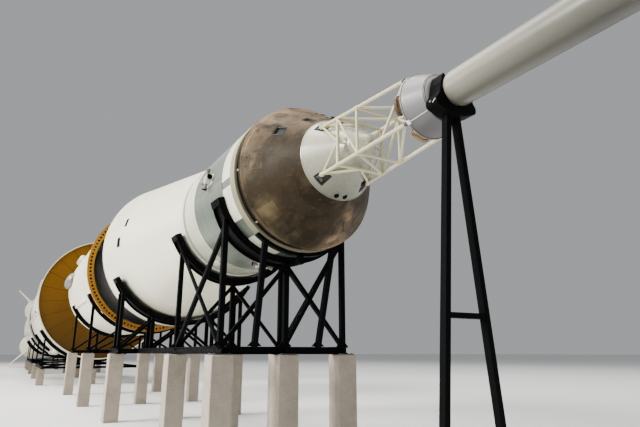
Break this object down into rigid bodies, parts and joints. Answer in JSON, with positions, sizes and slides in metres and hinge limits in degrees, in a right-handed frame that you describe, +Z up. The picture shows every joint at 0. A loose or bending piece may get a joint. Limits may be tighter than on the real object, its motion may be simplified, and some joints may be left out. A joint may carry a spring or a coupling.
{
  "type": "1:10 scale model of a three-stage moon rocket on display cradles",
  "caption": "Three-stage moon rocket lying in separated sections with capsule, service module, adapter and escape tower, on black steel cradles and concrete piers, at 1:10.",
  "frame": {"origin": "on the floor under the middle of the whole length", "axes": "+X along the rocket towards its nose, +Z up, +Y to the right seen from the tail"},
  "size_m": [11.79, 1.3662, 1.3931],
  "materials": {
    "white_paint": "satin white paint",
    "cream_paint": "satin cream paint",
    "silver_paint": "satin light grey paint",
    "silver_skin": "bare and silver-painted aluminium",
    "brown_shield": "mottled scorched ablator",
    "window_glass": "clear pane",
    "yellow_paint": "gloss yellow paint",
    "orange_foam": "matt orange insulation",
    "black_steel": "satin black paint, with concrete piers",
    "engine_metal": "heat-stained metal",
    "dark_steel": "dark steel"
  },
  "bodies": {
    "root": {"escape_motor": "white_paint", "escape_skirt": "silver_paint", "escape_tower": "cream_paint", "capsule_forward_cover": "white_paint", "capsule_cone": "brown_shield", "capsule_window_left_side": "window_glass", "capsule_window_left_forward": "window_glass", "capsule_window_right_forward": "window_glass", "capsule_window_right_side": "window_glass", "capsule_heat_shield": "brown_shield", "capsule_cabin": "silver_skin", "service_front_ring": "white_paint", "service_body": "silver_skin", "service_engine": "engine_metal", "adapter": "white_paint", "stage3_handling_ring": "yellow_paint", "stage3_forward_skirt": "white_paint", "stage3_tank": "white_paint", "stage3_aft_skirt": "white_paint", "stage3_thrust_cone": "silver_skin", "stage2_forward_skirt": "white_paint", "stage2_tank": "orange_foam", "stage2_aft_skirt": "white_paint", "stage2_thrust_cone": "silver_skin", "stage1_forward_skirt": "white_paint", "stage1_oxidiser_tank": "white_paint", "stage1_intertank": "white_paint", "stage1_fuel_tank": "white_paint", "stage1_thrust_section": "white_paint", "stand_escape": "black_steel", "cradle_craft": "black_steel", "cradle_adapter": "black_steel", "cradle_stage3": "black_steel", "cradle_stage2": "black_steel", "cradle_stage1": "black_steel", "stage2_engine_middle": "engine_metal", "stage1_engine_middle": "engine_metal", "stage1_fin_1": "white_paint", "stage1_fin_2": "white_paint", "stage1_fin_3": "white_paint", "stage1_fin_4": "white_paint"},
    "hatch": {"capsule_hatch": "brown_shield"},
    "stage3_gimbal": {"stage3_gimbal": "dark_steel"},
    "stage3_engine": {"stage3_engine": "engine_metal"},
    "stage2_gimbal_1": {"stage2_gimbal_1": "dark_steel"},
    "stage2_engine_1": {"stage2_engine_1": "engine_metal"},
    "stage2_gimbal_2": {"stage2_gimbal_2": "dark_steel"},
    "stage2_engine_2": {"stage2_engine_2": "engine_metal"},
    "stage2_gimbal_3": {"stage2_gimbal_3": "dark_steel"},
    "stage2_engine_3": {"stage2_engine_3": "engine_metal"},
    "stage2_gimbal_4": {"stage2_gimbal_4": "dark_steel"},
    "stage2_engine_4": {"stage2_engine_4": "engine_metal"},
    "stage1_gimbal_1": {"stage1_gimbal_1": "dark_steel"},
    "stage1_engine_1": {"stage1_engine_1": "engine_metal"},
    "stage1_gimbal_2": {"stage1_gimbal_2": "dark_steel"},
    "stage1_engine_2": {"stage1_engine_2": "engine_metal"},
    "stage1_gimbal_3": {"stage1_gimbal_3": "dark_steel"},
    "stage1_engine_3": {"stage1_engine_3": "engine_metal"},
    "stage1_gimbal_4": {"stage1_gimbal_4": "dark_steel"},
    "stage1_engine_4": {"stage1_engine_4": "engine_metal"}
  },
  "joints": [
    {"name": "hatch_hinge", "type": "hinge", "parent": "root", "child": "hatch", "pos_m": [4.79274, 0.042, 0.85233], "axis": [-0.8387, 0, 0.5446], "range_deg": [0, 100]},
    {"name": "stage3_engine_pitch", "type": "hinge", "parent": "root", "child": "stage3_gimbal", "pos_m": [1.459, 0, 0.71], "axis": [0, 1, 0], "range_deg": [-7, 7]},
    {"name": "stage3_engine_yaw", "type": "hinge", "parent": "stage3_gimbal", "child": "stage3_engine", "pos_m": [1.459, 0, 0.71], "axis": [0, 0, 1], "range_deg": [-7, 7]},
    {"name": "stage2_engine_1_pitch", "type": "hinge", "parent": "root", "child": "stage2_gimbal_1", "pos_m": [-1.001, -0.1888, 0.8988], "axis": [0, 1, 0], "range_deg": [-7, 7]},
    {"name": "stage2_engine_1_yaw", "type": "hinge", "parent": "stage2_gimbal_1", "child": "stage2_engine_1", "pos_m": [-1.001, -0.1888, 0.8988], "axis": [0, 0, 1], "range_deg": [-7, 7]},
    {"name": "stage2_engine_2_pitch", "type": "hinge", "parent": "root", "child": "stage2_gimbal_2", "pos_m": [-1.001, -0.1888, 0.5212], "axis": [0, 1, 0], "range_deg": [-7, 7]},
    {"name": "stage2_engine_2_yaw", "type": "hinge", "parent": "stage2_gimbal_2", "child": "stage2_engine_2", "pos_m": [-1.001, -0.1888, 0.5212], "axis": [0, 0, 1], "range_deg": [-7, 7]},
    {"name": "stage2_engine_3_pitch", "type": "hinge", "parent": "root", "child": "stage2_gimbal_3", "pos_m": [-1.001, 0.1888, 0.5212], "axis": [0, 1, 0], "range_deg": [-7, 7]},
    {"name": "stage2_engine_3_yaw", "type": "hinge", "parent": "stage2_gimbal_3", "child": "stage2_engine_3", "pos_m": [-1.001, 0.1888, 0.5212], "axis": [0, 0, 1], "range_deg": [-7, 7]},
    {"name": "stage2_engine_4_pitch", "type": "hinge", "parent": "root", "child": "stage2_gimbal_4", "pos_m": [-1.001, 0.1888, 0.8988], "axis": [0, 1, 0], "range_deg": [-7, 7]},
    {"name": "stage2_engine_4_yaw", "type": "hinge", "parent": "stage2_gimbal_4", "child": "stage2_engine_4", "pos_m": [-1.001, 0.1888, 0.8988], "axis": [0, 0, 1], "range_deg": [-7, 7]},
    {"name": "stage1_engine_1_pitch", "type": "hinge", "parent": "root", "child": "stage1_gimbal_1", "pos_m": [-5.348, -0.32668, 1.03668], "axis": [0, 1, 0], "range_deg": [-5.15, 5.15]},
    {"name": "stage1_engine_1_yaw", "type": "hinge", "parent": "stage1_gimbal_1", "child": "stage1_engine_1", "pos_m": [-5.348, -0.32668, 1.03668], "axis": [0, 0, 1], "range_deg": [-5.15, 5.15]},
    {"name": "stage1_engine_2_pitch", "type": "hinge", "parent": "root", "child": "stage1_gimbal_2", "pos_m": [-5.348, -0.32668, 0.38332], "axis": [0, 1, 0], "range_deg": [-5.15, 5.15]},
    {"name": "stage1_engine_2_yaw", "type": "hinge", "parent": "stage1_gimbal_2", "child": "stage1_engine_2", "pos_m": [-5.348, -0.32668, 0.38332], "axis": [0, 0, 1], "range_deg": [-5.15, 5.15]},
    {"name": "stage1_engine_3_pitch", "type": "hinge", "parent": "root", "child": "stage1_gimbal_3", "pos_m": [-5.348, 0.32668, 0.38332], "axis": [0, 1, 0], "range_deg": [-5.15, 5.15]},
    {"name": "stage1_engine_3_yaw", "type": "hinge", "parent": "stage1_gimbal_3", "child": "stage1_engine_3", "pos_m": [-5.348, 0.32668, 0.38332], "axis": [0, 0, 1], "range_deg": [-5.15, 5.15]},
    {"name": "stage1_engine_4_pitch", "type": "hinge", "parent": "root", "child": "stage1_gimbal_4", "pos_m": [-5.348, 0.32668, 1.03668], "axis": [0, 1, 0], "range_deg": [-5.15, 5.15]},
    {"name": "stage1_engine_4_yaw", "type": "hinge", "parent": "stage1_gimbal_4", "child": "stage1_engine_4", "pos_m": [-5.348, 0.32668, 1.03668], "axis": [0, 0, 1], "range_deg": [-5.15, 5.15]}
  ]
}
